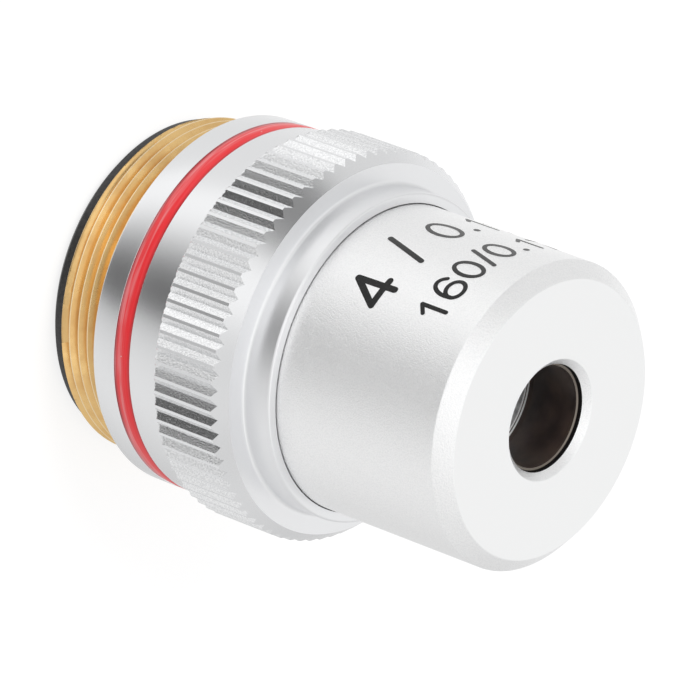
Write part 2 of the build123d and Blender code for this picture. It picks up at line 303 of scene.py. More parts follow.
# The chrome is a thin bright plating over fine turning marks. The collar looks coarser than
# the flange in the photograph, and the flanks of the knurl look speckled.
chrome, chrome_shader = new_finish("polished_chrome")
spot = turned_place(chrome)
chrome_shader.inputs["Base Color"].default_value = (0.865, 0.87, 0.88, 1)
chrome_shader.inputs["Metallic"].default_value = 1.0
marks = noise(chrome, spot.ring, 16000.0)
mark_bump = bump(chrome, marks, 0.3, 0.0012 * mm)
chrome.node_tree.links.new(mark_bump, chrome_shader.inputs["Normal"])
chrome_shader.inputs["Roughness"].default_value = 0.21
turned_sheen(chrome, chrome_shader, 0.9)

collar_chrome, collar_shader = new_finish("collar_chrome")
spot = turned_place(collar_chrome)
collar_shader.inputs["Base Color"].default_value = (0.89, 0.895, 0.905, 1)
collar_shader.inputs["Metallic"].default_value = 1.0
marks = noise(collar_chrome, spot.ring, 11000.0)
mark_bump = bump(collar_chrome, marks, 0.4, 0.002 * mm)
collar_chrome.node_tree.links.new(mark_bump, collar_shader.inputs["Normal"])
collar_shader.inputs["Roughness"].default_value = 0.36
turned_sheen(collar_chrome, collar_shader, 0.6)

knurl_chrome, knurl_shader = new_finish("knurl_chrome")
spot = turned_place(knurl_chrome)
speckle = noise(knurl_chrome, spot.place, 9000.0, 3.0, 0.6)
speckle_bump = bump(knurl_chrome, speckle, 1.0, 0.016 * mm)
knurl_colour = blend(
    knurl_chrome,
    between(knurl_chrome, speckle, 0.4, 0.6),
    (0.78, 0.785, 0.795, 1),
    (0.92, 0.925, 0.93, 1),
)
knurl_chrome.node_tree.links.new(knurl_colour, knurl_shader.inputs["Base Color"])
knurl_chrome.node_tree.links.new(speckle_bump, knurl_shader.inputs["Normal"])
knurl_shader.inputs["Metallic"].default_value = 1.0
knurl_shader.inputs["Roughness"].default_value = 0.16

# The thread and the bores are left as turned brass of uneven colour. A brighter cream on the
# crests and along the end edge is a painted highlight.
brass, brass_shader = new_finish("turned_brass")
spot = turned_place(brass)
stain = noise(brass, spot.place, 420.0, 4.0, 0.65)
brass_colour = blend(
    brass,
    between(brass, stain, 0.4, 0.75),
    (0.89, 0.60, 0.26, 1),
    (0.76, 0.47, 0.19, 1),
)
marks = noise(brass, spot.ring, 12000.0, 3.0)
crest_bright_from = 10.09 * mm
crest_bright_to = 10.12 * mm
edge_fade = 0.16 * mm
edge_full = 0.06 * mm
# Painted highlight: a brighter cream on the thread crests and along the end edge.
crest_highlight = between(brass, spot.radius, crest_bright_from, crest_bright_to, 0.0, 0.85)
end_edge_highlight = between(brass, spot.height, thread_end + edge_fade, thread_end + edge_full)
bright = node(brass, "ShaderNodeMath", {0: crest_highlight, 1: end_edge_highlight}, operation="MAXIMUM")
brass_with_painted_highlights = blend(brass, bright.outputs[0], brass_colour, (0.98, 0.80, 0.53, 1))
mark_bump = bump(brass, marks, 0.4, 0.0015 * mm)
brass_shader.inputs["Metallic"].default_value = 1.0
brass.node_tree.links.new(brass_with_painted_highlights, brass_shader.inputs["Base Color"])
brass.node_tree.links.new(
    between(brass, stain, 0.3, 0.7, 0.2, 0.36), brass_shader.inputs["Roughness"]
)
brass.node_tree.links.new(mark_bump, brass_shader.inputs["Normal"])

for finish in (chrome, brass, knurl_chrome, collar_chrome):
    mount_body.data.materials.append(finish)
for face in mount_body.data.polygons:
    reach = Vector(face.center[:2])
    outward = Vector(face.normal[:2]).dot(reach.normalized())
    on_grip = flange_front + 0.01 * mm < face.center.z < cone_front - 0.01 * mm
    in_bore = reach.length < socket_radius + 0.001 * mm and face.center.z < socket_floor
    if face.center.z < -0.01 * mm or in_bore:
        face.material_index = 1
    elif on_grip and reach.length > groove_radius - 0.01 * mm and abs(face.normal.z) < 0.1:
        face.material_index = 2 if outward < 0.95 else 3
    elif face.center.z > cone_front - 0.01 * mm:
        face.material_index = 3
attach(mount_body, "root")
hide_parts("mount_body")

# Mounting thread: a right-handed inch thread of 36 turns to the inch, cut on the back of the
# body up to the flange, with rounded crests and a lead chamfer at its start.
thread_pitch = 25.4 / 36 * mm
thread_crest_radius = 10.135 * mm
thread_lead = 0.4 * mm
thread_relief = 0.03 * mm
crest_height = -2.17 * mm
ridge_root_half = 0.325 * mm
ridge_crest_half = 0.04 * mm
ridge_buried = 0.15 * mm
turns_below = 4
turns_above = 4
turn_steps = 160
ridge_section = [
    (thread_root_radius - ridge_buried, -ridge_root_half),
    (thread_root_radius, -ridge_root_half),
    (thread_root_radius + 0.02 * mm, -ridge_root_half + 0.02 * mm),
    (thread_crest_radius - 0.03 * mm, -ridge_crest_half),
    (thread_crest_radius - 0.008 * mm, -ridge_crest_half * 0.6),
    (thread_crest_radius, 0),
    (thread_crest_radius - 0.008 * mm, ridge_crest_half * 0.6),
    (thread_crest_radius - 0.03 * mm, ridge_crest_half),
    (thread_root_radius + 0.02 * mm, ridge_root_half - 0.02 * mm),
    (thread_root_radius, ridge_root_half),
    (thread_root_radius - ridge_buried, ridge_root_half),
]
bpy.ops.object.select_all(action="DESELECT")
bpy.ops.mesh.primitive_circle_add(vertices=len(ridge_section), radius=1 * mm)
thread = bpy.context.object
thread.name = thread.data.name = "mounting_thread"
for vert, (section_radius, section_height) in zip(thread.data.vertices, ridge_section):
    vert.co = (section_radius, 0, crest_height - turns_below * thread_pitch + section_height)
only(thread)
bpy.ops.object.modifier_add(type="SCREW")
winding = thread.modifiers[-1]
winding.axis = "Z"
winding.angle = 2 * math.pi
winding.iterations = turns_below + turns_above
winding.screw_offset = thread_pitch
winding.steps = winding.render_steps = turn_steps
winding.use_merge_vertices = False
bpy.ops.object.modifier_apply(modifier=winding.name)
bpy.ops.object.mode_set(mode="EDIT")
bpy.ops.mesh.select_mode(type="EDGE")
bpy.ops.mesh.select_all(action="DESELECT")
bpy.ops.mesh.select_non_manifold(extend=False)
bpy.ops.mesh.fill_holes(sides=0)
bpy.ops.mesh.select_all(action="SELECT")
bpy.ops.mesh.normals_make_consistent(inside=False)
bpy.ops.object.mode_set(mode="OBJECT")

envelope_outline = [
    (thread_root_radius - 2 * ridge_buried, thread_end),
    (thread_crest_radius - thread_lead, thread_end),
    (thread_crest_radius + 0.05 * mm, thread_end + thread_lead + 0.05 * mm),
    (thread_crest_radius + 0.05 * mm, -thread_relief),
    (thread_root_radius - 2 * ridge_buried, -thread_relief),
    (thread_root_radius - 2 * ridge_buried, thread_end),
]
envelope = start_ring("thread_envelope", *envelope_outline[0], turn_steps)
follow(envelope_outline[1:], *envelope_outline[0])
close_up(envelope, 30)


def cut(piece, other, operation, smooth_below):
    """Cuts a piece with another one, which is used up, and smooths its gentle corners."""
    only(piece)
    bpy.ops.object.modifier_add(type="BOOLEAN")
    boolean = piece.modifiers[-1]
    boolean.operation = operation
    boolean.object = other
    boolean.solver = "EXACT"
    bpy.ops.object.modifier_apply(modifier=boolean.name)
    bpy.data.objects.remove(other)
    only(piece)
    bpy.ops.object.shade_smooth_by_angle(angle=math.radians(smooth_below))


cut(thread, envelope, "INTERSECT", 40)
thread.data.materials.clear()
thread.data.materials.append(brass)
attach(thread, "root")

# Colour band: red enamel laid in the groove of the flange. It is built slightly domed, with a
# few pale specks. Paler streaks in its rear half are a painted sheen.
band_edge_radius = 11.04 * mm
band_crown = 0.05 * mm
band_side_gap = 0.01 * mm
round_points = 320
band_middle = (band_back + band_front) / 2
band_half = (band_front - band_back) / 2 - band_side_gap
band_outline = [(band_floor_radius, band_middle - band_half)]
for step in range(13):
    across = step / 6 - 1
    band_outline.append(
        (band_edge_radius + band_crown * (1 - across * across), band_middle + band_half * across)
    )
band_outline += [(band_floor_radius, band_middle + band_half), band_outline[0]]
colour_band = start_ring("colour_band_enamel", *band_outline[0], round_points)
follow(band_outline[1:], *band_outline[0])
close_up(colour_band, 50)

enamel, enamel_shader = new_finish("red_enamel")
spot = turned_place(enamel)
deep_edge = 0.02 * mm
deep_fade = 0.26 * mm
painted_sheen_front = 2.35 * mm
painted_sheen_back = 2.15 * mm
edge_in = between(enamel, spot.height, band_back + deep_edge, band_back + deep_fade)
edge_out = between(enamel, spot.height, band_front - deep_edge, band_front - deep_fade)
cells = node(enamel, "ShaderNodeTexVoronoi", {"Vector": spot.place, "Scale": 1500.0})
cell_size = node(enamel, "ShaderNodeSeparateColor", {0: cells.outputs["Color"]})
speck = times(
    enamel,
    between(enamel, cells.outputs["Distance"], 0.07, 0.04),
    between(enamel, cell_size.outputs[0], 0.66, 0.7),
)
turn = node(enamel, "ShaderNodeMath", {0: spot.y, 1: spot.x}, operation="ARCTAN2")
round_place = node(
    enamel,
    "ShaderNodeCombineXYZ",
    {0: times(enamel, turn.outputs[0], 2.2), 1: times(enamel, spot.height, 4200.0)},
)
painted_sheen_streaks = noise(enamel, round_place.outputs[0], 1.0, 2.0, 0.7)
red = blend(
    enamel, times(enamel, edge_in, edge_out), (0.45, 0.008, 0.014, 1), (0.90, 0.016, 0.024, 1)
)
# Painted sheen: paler pink streaks over the rear half of the band.
red_with_painted_sheen = blend(
    enamel,
    times(
        enamel,
        between(enamel, painted_sheen_streaks, 0.42, 0.62, 0.1, 0.6),
        between(enamel, spot.height, painted_sheen_front, painted_sheen_back, 0.15, 1.0),
    ),
    red,
    (0.95, 0.38, 0.40, 1),
)
specked_red = blend(enamel, speck, red_with_painted_sheen, (0.85, 0.72, 0.7, 1))
enamel.node_tree.links.new(specked_red, enamel_shader.inputs["Base Color"])
enamel_shader.inputs["Roughness"].default_value = 0.4
enamel_shader.inputs["Specular IOR Level"].default_value = 0.3
enamel_shader.inputs["Coat Weight"].default_value = 0.15
enamel_shader.inputs["Coat Roughness"].default_value = 0.08
colour_band.data.materials.append(enamel)
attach(colour_band, "root")
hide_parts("colour_band")

# Nose sleeve: a brass cap screwed into the collar, with a satin finish. Its front edge and the
# mouth of its bore carry chamfers, and its front face is smoother. The wall of the bore is
# built dull black, a painted shade for metal in shadow.
skirt_back = 7.0 * mm
skirt_bore_radius = 7.4 * mm
skirt_radius = 8.5 * mm
nose_shoulder = 11.6 * mm
nose_radius = 9.15 * mm
nose_front = 24.89 * mm
nose_chamfer = 0.9 * mm
plate_back = 22.89 * mm
bore_radius = 3.17 * mm
bore_chamfer = 0.42 * mm
pilot_radius = 4.2 * mm
pilot_floor = 23.99 * mm
nose_outline = eased(
    [
        (skirt_bore_radius, skirt_back),
        (skirt_radius, skirt_back, 0.05 * mm),
        (skirt_radius, nose_shoulder, 0.03 * mm),
        (nose_radius, nose_shoulder, 0.03 * mm),
        (nose_radius, nose_front - nose_chamfer, 0.05 * mm),
        (nose_radius - nose_chamfer, nose_front, 0.05 * mm),
        (bore_radius + bore_chamfer, nose_front, 0.03 * mm),
        (bore_radius, nose_front - bore_chamfer, 0.03 * mm),
        (bore_radius, pilot_floor, 0.02 * mm),
        (pilot_radius, pilot_floor, 0.02 * mm),
        (pilot_radius, plate_back, 0.02 * mm),
        (skirt_bore_radius, plate_back, 0.02 * mm),
        (skirt_bore_radius, skirt_back),
    ],
    0,
    4,
)
nose = start_ring("nose_sleeve_cap", *nose_outline[0], round_points)
follow(nose_outline[1:], *nose_outline[0])
close_up(nose, 30)

satin, satin_shader = new_finish("satin_nose")
spot = turned_place(satin)
grain = noise(satin, spot.place, 11000.0, 2.0, 0.7)
grain_bump = bump(satin, grain, 1.0, 0.032 * mm)
grain_colour = blend(
    satin,
    between(satin, grain, 0.35, 0.6),
    (0.93, 0.935, 0.94, 1),
    (1.0, 1.0, 1.0, 1),
)
satin.node_tree.links.new(grain_colour, satin_shader.inputs["Base Color"])
satin_shader.inputs["Metallic"].default_value = 1.0
satin_shader.inputs["Roughness"].default_value = 0.4
satin.node_tree.links.new(grain_bump, satin_shader.inputs["Normal"])

satin_face, satin_face_shader = new_finish("satin_face")
spot = turned_place(satin_face)
marks = noise(satin_face, spot.ring, 9000.0)
face_bump = bump(satin_face, marks, 0.3, 0.001 * mm)
satin_face_shader.inputs["Base Color"].default_value = (0.965, 0.97, 0.97, 1)
satin_face_shader.inputs["Metallic"].default_value = 1.0
satin_face_shader.inputs["Roughness"].default_value = 0.38
satin_face.node_tree.links.new(face_bump, satin_face_shader.inputs["Normal"])

# Painted shade: a dull black for metal that lies in shadow, on the nose's bore wall and in the
# narrow gap round the glare tube's mouth.
painted_shade_black, painted_shade_shader = new_finish("painted_shade_black")
spot = turned_place(painted_shade_black)
shade = noise(painted_shade_black, spot.place, 3000.0)
painted_shade_black.node_tree.links.new(
    between(painted_shade_black, shade, 0.3, 0.7, 0.55, 0.75), painted_shade_shader.inputs["Roughness"]
)
painted_shade_shader.inputs["Base Color"].default_value = (0.010, 0.009, 0.009, 1)
painted_shade_shader.inputs["Specular IOR Level"].default_value = 0.12

for finish in (satin, satin_face, painted_shade_black):
    nose.data.materials.append(finish)
for face in nose.data.polygons:
    if face.normal.z > 0.9 and face.center.z > nose_front - 0.1 * mm:
        face.material_index = 1
    # The bore wall gets the painted shade.
    elif Vector(face.center[:2]).length < bore_radius + 0.03 * mm:
        face.material_index = 2
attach(nose, "root")
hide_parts("nose_sleeve")

# Marking: plain numbers printed in black round the nose in two lines, read from the thread end
# at the top. Each numeral is a few strokes of even width, laid as flat faces a hair above the
# satin surface. The ink is greyer towards one side, a painted sheen.
print_height = 0.008 * mm


def arc(middle, across, along, first, last, steps):
    """Points of part of an ellipse. The middle is (degrees, height), across is in degrees and
    along is a height. The angles count from the right, as the line is read, to the bottom."""
    points = []
    for step in range(steps + 1):
        angle = math.radians(first + (last - first) * step / steps)
        points.append(
            (middle[0] - across * math.cos(angle), middle[1] + along * math.sin(angle))
        )
    return points


def print_stroke(path, width):
    """A flat stroke with round ends, laid round the nose. The path is in degrees and mm."""
    flat = [Vector((math.radians(a) * nose_radius, h * mm)) for a, h in path]
    half = width * mm / 2
    closed = (flat[0] - flat[-1]).length < 0.001 * mm
    if closed:
        flat.pop()
    count = len(flat)
    edge = bpy.data.meshes.new("print")
    lefts, rights = [], []
    for i, point in enumerate(flat):
        ahead = flat[(i + 1) % count] - point if closed or i < count - 1 else point - flat[i - 1]
        behind = point - flat[i - 1] if closed or i > 0 else ahead
        normal_ahead = Vector((-ahead.y, ahead.x)).normalized()
        normal_behind = Vector((-behind.y, behind.x)).normalized()
        mitre = (normal_ahead + normal_behind).normalized()
        reach = half / max(mitre.dot(normal_ahead), 0.4)
        lefts.append(point + mitre * reach)
        rights.append(point - mitre * reach)
    corners = []
    faces = []
    for left, right in zip(lefts, rights):
        corners += [left, right]
    for i in range(count if closed else count - 1):
        j = (i + 1) % count
        faces.append((2 * i, 2 * i + 1, 2 * j + 1, 2 * j))
    if not closed:
        for i, sign in ((0, -1), (count - 1, 1)):
            start = lefts[i] - flat[i]
            cap = []
            for step in range(1, 8):
                turn = Matrix.Rotation(-sign * math.pi * step / 8, 2)
                cap.append(len(corners))
                corners.append(flat[i] + turn @ start)
            faces.append((2 * i, *cap, 2 * i + 1))
    laid = []
    for corner in corners:
        angle = corner.x / nose_radius
        reach = nose_radius + print_height
        laid.append((reach * math.cos(angle), reach * math.sin(angle), corner.y))
    edge.from_pydata(laid, [], faces)
    piece = bpy.data.objects.new("print", edge)
    bpy.context.scene.collection.objects.link(piece)
    return piece


def straight(first, last, steps=6):
    """Points of a straight stroke."""
    return [
        (first[0] + (last[0] - first[0]) * i / steps, first[1] + (last[1] - first[1]) * i / steps)
        for i in range(steps + 1)
    ]


bold = 0.42
medium = 0.28
fine = 0.27
strokes = [
    (straight((-24.2, 15.05), (-24.5, 17.72)), bold),
    (straight((-24.2, 15.05), (-16.1, 16.9)), bold),
    (straight((-16.1, 16.9), (-27.2, 17.05)), bold),
    (straight((-39.6, 17.8), (-44.9, 14.77)), 0.34),
    (arc((-60.3, 16.7), 4.3, 1.15, 0, 360, 32), medium),
    (arc((-70.0, 17.75), 0.45, 0.07, 0, 360, 12), medium),
    (straight((-77.6, 16.1), (-80.9, 15.6)), medium),
    (straight((-80.9, 15.6), (-80.8, 17.85)), medium),
    (arc((-92.5, 16.7), 4.3, 1.15, 0, 360, 32), medium),
    (straight((-19.9, 20.33), (-23.1, 19.94)), fine),
    (straight((-23.1, 19.94), (-23.0, 21.70)), fine),
    (arc((-32.9, 21.2), 3.9, 0.56, 0, 360, 32), fine),
    (arc((-33.0, 20.87), 4.1, 1.04, 160, 320, 20), fine),
    (arc((-43.6, 20.8), 3.6, 0.98, 0, 360, 32), fine),
    (straight((-50.0, 21.8), (-54.0, 19.7)), fine),
    (arc((-59.9, 20.8), 3.6, 0.98, 0, 360, 32), fine),
    (arc((-68.0, 21.7), 0.35, 0.06, 0, 360, 12), fine),
    (straight((-73.4, 20.33), (-76.6, 19.94)), fine),
    (straight((-76.6, 19.94), (-76.5, 21.70)), fine),
    (straight((-82.0, 19.9), (-89.3, 19.9)), fine),
    (straight((-89.3, 19.9), (-84.8, 21.72)), fine),
]
printed = [print_stroke(path, width) for path, width in strokes]
bpy.ops.object.select_all(action="DESELECT")
for piece in printed:
    piece.select_set(True)
bpy.context.view_layer.objects.active = printed[0]
bpy.ops.object.join()
marking = bpy.context.object
marking.name = marking.data.name = "nose_marking"
ink_sheen_from = -5.2 * mm
ink_sheen_to = -8.2 * mm
ink, ink_shader = new_finish("black_print")
spot = turned_place(ink)
blotches = noise(ink, spot.place, 7000.0)
ink_colour = blend(
    ink,
    between(ink, blotches, 0.5, 0.75),
    (0.004, 0.004, 0.004, 1),
    (0.020, 0.020, 0.021, 1),
)
# Painted sheen: the ink turns grey towards one side of the nose.
ink_with_painted_sheen = blend(
    ink,
    between(ink, spot.y, ink_sheen_from, ink_sheen_to),
    ink_colour,
    (0.10, 0.10, 0.10, 1),
)
ink.node_tree.links.new(ink_with_painted_sheen, ink_shader.inputs["Base Color"])
ink_shader.inputs["Roughness"].default_value = 0.42
ink_shader.inputs["Specular IOR Level"].default_value = 0.35
marking.data.materials.append(ink)
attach(marking, "root")

# Shim: a flat brass ring between the floor of the collar's socket and the shoulder of the nose,
# where such objectives have their distance to the specimen set. It is out of sight and a guess.
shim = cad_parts["parfocal_shim"]
shim.data.materials.clear()
shim.data.materials.append(brass)

# Glare tube: a brass turning blackened against stray light, which lines the way from the front
# bore to the front lens. Its mouth is a small ring behind the bore, fitted to the lines that the
# photograph shows there. The mouth's edge is paler metal, a painted highlight, and the faces
# round the outside of the mouth, in the narrow gap to the nose, are a painted shade in dull black.
tube_back = 20.25 * mm
tube_radius = 7.35 * mm
spigot_radius = 4.15 * mm
spigot_front = 23.96 * mm
mouth_radius = 2.99 * mm
mouth_wall = 0.16 * mm
mouth_front = 24.29 * mm
mouth_edge = 0.07 * mm
tube_mouth_radius = 3.95 * mm
tube_points = 192
tube_outline = eased(
    [
        (tube_mouth_radius, tube_back),
        (tube_radius, tube_back, 0.03 * mm),
        (tube_radius, plate_back, 0.03 * mm),
        (spigot_radius, plate_back, 0.03 * mm),
        (spigot_radius, spigot_front, 0.03 * mm),
        (mouth_radius + mouth_wall, spigot_front, 0.01 * mm),
        (mouth_radius + mouth_wall, mouth_front, 0.01 * mm),
        (mouth_radius + mouth_wall - mouth_edge, mouth_front, 0.01 * mm),
        (mouth_radius, mouth_front - mouth_edge, 0.01 * mm),
        (tube_mouth_radius, tube_back),
    ],
    0,
)
glare_tube = start_ring("glare_tube_turning", *tube_outline[0], tube_points)
follow(tube_outline[1:], *tube_outline[0])
close_up(glare_tube, 35)

blackened, blackened_shader = new_finish("blackened_brass")
spot = turned_place(blackened)
shade = noise(blackened, spot.place, 600.0, 3.0)
black_colour = blend(
    blackened,
    between(blackened, shade, 0.35, 0.7),
    (0.040, 0.028, 0.024, 1),
    (0.105, 0.070, 0.056, 1),
)
marks = noise(blackened, spot.ring, 9000.0)
mark_bump = bump(blackened, marks, 0.6, 0.004 * mm)
blackened.node_tree.links.new(black_colour, blackened_shader.inputs["Base Color"])
blackened.node_tree.links.new(mark_bump, blackened_shader.inputs["Normal"])
blackened_shader.inputs["Roughness"].default_value = 0.42
blackened_shader.inputs["Specular IOR Level"].default_value = 0.7

# Painted highlight: the edge of the mouth is paler metal than the blackened tube.
mouth_highlight, mouth_highlight_shader = new_finish("painted_highlight_edge")
spot = turned_place(mouth_highlight)
marks = noise(mouth_highlight, spot.ring, 9000.0)
mouth_highlight.node_tree.links.new(
    between(mouth_highlight, marks, 0.3, 0.7, 0.22, 0.4), mouth_highlight_shader.inputs["Roughness"]
)
mouth_highlight_shader.inputs["Base Color"].default_value = (0.20, 0.175, 0.15, 1)
mouth_highlight_shader.inputs["Metallic"].default_value = 1.0
for finish in (blackened, mouth_highlight, painted_shade_black):
    glare_tube.data.materials.append(finish)
for face in glare_tube.data.polygons:
    if face.center.z > mouth_front - mouth_edge:
        face.material_index = 1
    # Faces round the outside of the mouth, in the narrow gap to the nose, get the painted shade.
    elif face.center.z > spigot_front - 0.01 * mm and face.normal.z > -0.1:
        outside = Vector(face.center[:2]).length > mouth_radius + mouth_edge
        face.material_index = 2 if outside else 0
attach(glare_tube, "root")
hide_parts("front_glare_tube")

# Front lens cell: a short tube turned from brass and blackened, with a pocket for the front
# doublet. Its seat lip is stepped and pale here, for the double bright ring that the photograph
# shows round the front lens. What makes that ring on the real one isn't known.
cell_back = 13.97 * mm
cell_radius = 7.35 * mm
front_pocket_radius = 4.62 * mm
front_seat = 19.75 * mm
lip_step = 0.07 * mm
cell_outline = eased(
    [
        (front_pocket_radius, cell_back),
        (cell_radius, cell_back, 0.05 * mm),
        (cell_radius, tube_back, 0.05 * mm),
        (tube_mouth_radius, tube_back, 0.01 * mm),
        (tube_mouth_radius, front_seat + 3 * lip_step, 0.01 * mm),
        (tube_mouth_radius - lip_step, front_seat + 2 * lip_step, 0.005 * mm),
        (tube_mouth_radius - lip_step, front_seat + lip_step, 0.005 * mm),
        (tube_mouth_radius - 2 * lip_step, front_seat + 0.2 * lip_step, 0.005 * mm),
        (tube_mouth_radius - 2 * lip_step, front_seat, 0.005 * mm),
        (front_pocket_radius, front_seat, 0.02 * mm),
        (front_pocket_radius, cell_back),
    ],
    0,
)
front_cell = start_ring("front_cell_tube", *cell_outline[0], tube_points)
follow(cell_outline[1:], *cell_outline[0])
close_up(front_cell, 35)

bright_edge, bright_shader = new_finish("bright_lip_edge")
spot = turned_place(bright_edge)
marks = noise(bright_edge, spot.ring, 9000.0)
bright_edge.node_tree.links.new(
    between(bright_edge, marks, 0.3, 0.7, 0.3, 0.45), bright_shader.inputs["Roughness"]
)
bright_shader.inputs["Base Color"].default_value = (0.85, 0.85, 0.84, 1)
for finish in (blackened, bright_edge):
    front_cell.data.materials.append(finish)
for face in front_cell.data.polygons:
    reach = Vector(face.center[:2]).length
    on_lip = front_seat < face.center.z < front_seat + 3 * lip_step and reach < tube_mouth_radius
    face.material_index = 1 if on_lip and face.normal.z > 0.3 else 0
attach(front_cell, "root")
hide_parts("front_lens_cell")

# Lenses: two cemented doublets of crown and flint glass with anti-reflection coatings. Only the
# domed front face of the front flint lens is seen through the bore. Its rim is set less clear,
# as it looks in the photograph.
haze_from = 2.9 * mm
haze_full = 3.15 * mm
glass, glass_shader = new_finish("coated_glass")
spot = turned_place(glass)
glass_shader.inputs["Base Color"].default_value = (0.93, 0.96, 0.97, 1)
glass.node_tree.links.new(
    between(glass, spot.radius, haze_full, haze_from, 0.25, 1.0),
    glass_shader.inputs["Transmission Weight"],
)
glass_shader.inputs["IOR"].default_value = 1.67
smear = noise(glass, spot.place, 500.0)
glass.node_tree.links.new(
    between(glass, smear, 0.4, 0.8, 0.02, 0.06), glass_shader.inputs["Roughness"]
)
glass_shader.inputs["Thin Film Thickness"].default_value = 110.0
glass_shader.inputs["Thin Film IOR"].default_value = 1.38


def smooth_copy(node_name, name, smooth_below):
    """A copy of a CAD node with its loose triangles merged and its curved faces smoothed."""
    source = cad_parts[node_name]
    bpy.ops.object.select_all(action="DESELECT")
    made = source.copy()
    made.data = source.data.copy()
    for key in [k for k in made.keys() if k.startswith("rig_")]:
        del made[key]
    made.parent = None
    made.name = made.data.name = name
    bpy.context.scene.collection.objects.link(made)
    only(made)
    bpy.ops.object.mode_set(mode="EDIT")
    bpy.ops.mesh.select_all(action="SELECT")
    bpy.ops.mesh.remove_doubles(threshold=0.0005 * mm)
    bpy.ops.object.mode_set(mode="OBJECT")
    made.data.materials.clear()
    bpy.ops.object.shade_smooth_by_angle(angle=math.radians(smooth_below))
    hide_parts(node_name)
    return made


for lens_name in ("front_flint_lens", "front_crown_lens", "rear_flint_lens", "rear_crown_lens"):
    lens = smooth_copy(lens_name, lens_name + "_polished", 40)
    lens.data.materials.append(glass)
    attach(lens, "root")

# Inner turnings behind the front lens: retaining rings, spacer, stop, rear cell and lock ring,
# all blackened brass, stacked in the bore and clamped by the lock ring.
for inner_name in (
    "front_retaining_ring",
    "spacer_tube",
    "aperture_stop",
    "rear_lens_cell",
    "rear_retaining_ring",
    "rear_lock_ring",
):
    inner = smooth_copy(inner_name, inner_name + "_turning", 30)
    inner.data.materials.append(blackened)
    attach(inner, "root")

# Rear end ring: a black flanged ring screwed into the thread end, with a flared light opening
# and two slots across its face for a spanner. The photograph shows only a black rim behind the
# thread, which may be paint on the end of the body, so this ring and its form are a guess.
end_back = -4.75 * mm
end_radius = 9.7 * mm
end_chamfer = 0.43 * mm
end_spigot_radius = 7.58 * mm
end_spigot_front = -2.8 * mm
port_radius = 5.18 * mm
port_flare = 0.9 * mm
slot_width = 1.2 * mm
slot_depth = 0.6 * mm
slot_reach = 7.58 * mm
end_points = 256
end_outline = eased(
    [
        (port_radius, end_spigot_front),
        (port_radius, end_back + port_flare, 0.04 * mm),
        (port_radius + port_flare, end_back, 0.04 * mm),
        (end_radius - end_chamfer, end_back, 0.06 * mm),
        (end_radius, end_back + end_chamfer, 0.06 * mm),
        (end_radius, thread_end, 0.03 * mm),
        (end_spigot_radius, thread_end, 0.03 * mm),
        (end_spigot_radius, end_spigot_front, 0.05 * mm),
        (port_radius, end_spigot_front),
    ],
    0,
)
end_ring = start_ring("rear_end_ring_turning", *end_outline[0], end_points)
follow(end_outline[1:], *end_outline[0])
close_up(end_ring, 35)
for side in (-1, 1):
    bpy.ops.object.select_all(action="DESELECT")
    slot_middle = side * (port_radius + slot_reach) / 2
    bpy.ops.mesh.primitive_cube_add(size=1, location=(0, slot_middle, end_back))
    cutter = bpy.context.object
    cutter.scale = (slot_width, slot_reach - port_radius, 2 * slot_depth)
    bpy.ops.object.transform_apply(location=True, rotation=True, scale=True)
    cut(end_ring, cutter, "DIFFERENCE", 35)

black_paint, paint_shader = new_finish("matt_black_paint")
spot = turned_place(black_paint)
mottle = noise(black_paint, spot.place, 5200.0, 3.0)
paint_colour = blend(
    black_paint,
    between(black_paint, mottle, 0.35, 0.75),
    (0.016, 0.016, 0.017, 1),
    (0.045, 0.044, 0.044, 1),
)
paint_bump = bump(black_paint, mottle, 0.6, 0.006 * mm)
black_paint.node_tree.links.new(paint_colour, paint_shader.inputs["Base Color"])
black_paint.node_tree.links.new(paint_bump, paint_shader.inputs["Normal"])
paint_shader.inputs["Roughness"].default_value = 0.45
end_ring.data.materials.clear()
end_ring.data.materials.append(black_paint)
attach(end_ring, "root")
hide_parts("rear_end_ring")

# Floor: a plain white table just under the thread end, which keeps the soft shadow of the
# object. Glass shows it plainly bright, and metal shows the cards below it instead.
floor_gap = 0.01 * mm
floor_height = end_back - floor_gap
bpy.ops.object.select_all(action="DESELECT")
bpy.ops.mesh.primitive_plane_add(size=6, location=(0, 0, floor_height))
floor = bpy.context.object
floor.name = "floor"


def emission(finish, strength, colour=(1, 1, 1, 1)):
    """A light-coloured emission."""
    return node(finish, "ShaderNodeEmission", {0: colour, 1: strength}).outputs[0]


def chosen(finish, choice, off, on):
    """Mix of two shaders."""
    return node(finish, "ShaderNodeMixShader", {0: choice, 1: off, 2: on}).outputs[0]


table_white = bpy.data.materials.new("white_table")
table_white.use_nodes = True
table_white.node_tree.nodes.remove(table_white.node_tree.nodes["Principled BSDF"])
rays = node(table_white, "ShaderNodeLightPath").outputs
lit = node(table_white, "ShaderNodeBsdfDiffuse", {0: (0.8, 0.8, 0.8, 1)}).outputs[0]
seen_diffuse = node(table_white, "ShaderNodeBsdfDiffuse", {0: (0.3, 0.3, 0.3, 1)}).outputs[0]
seen = node(table_white, "ShaderNodeAddShader", {0: seen_diffuse, 1: emission(table_white, 0.8)})
passed = chosen(table_white, rays["Is Transmission Ray"], lit, emission(table_white, 0.86))
passed = chosen(table_white, rays["Is Camera Ray"], passed, seen.outputs[0])
table_white.node_tree.links.new(
    passed, table_white.node_tree.nodes["Material Output"].inputs["Surface"]
)
floor.data.materials.append(table_white)
floor.visible_glossy = False
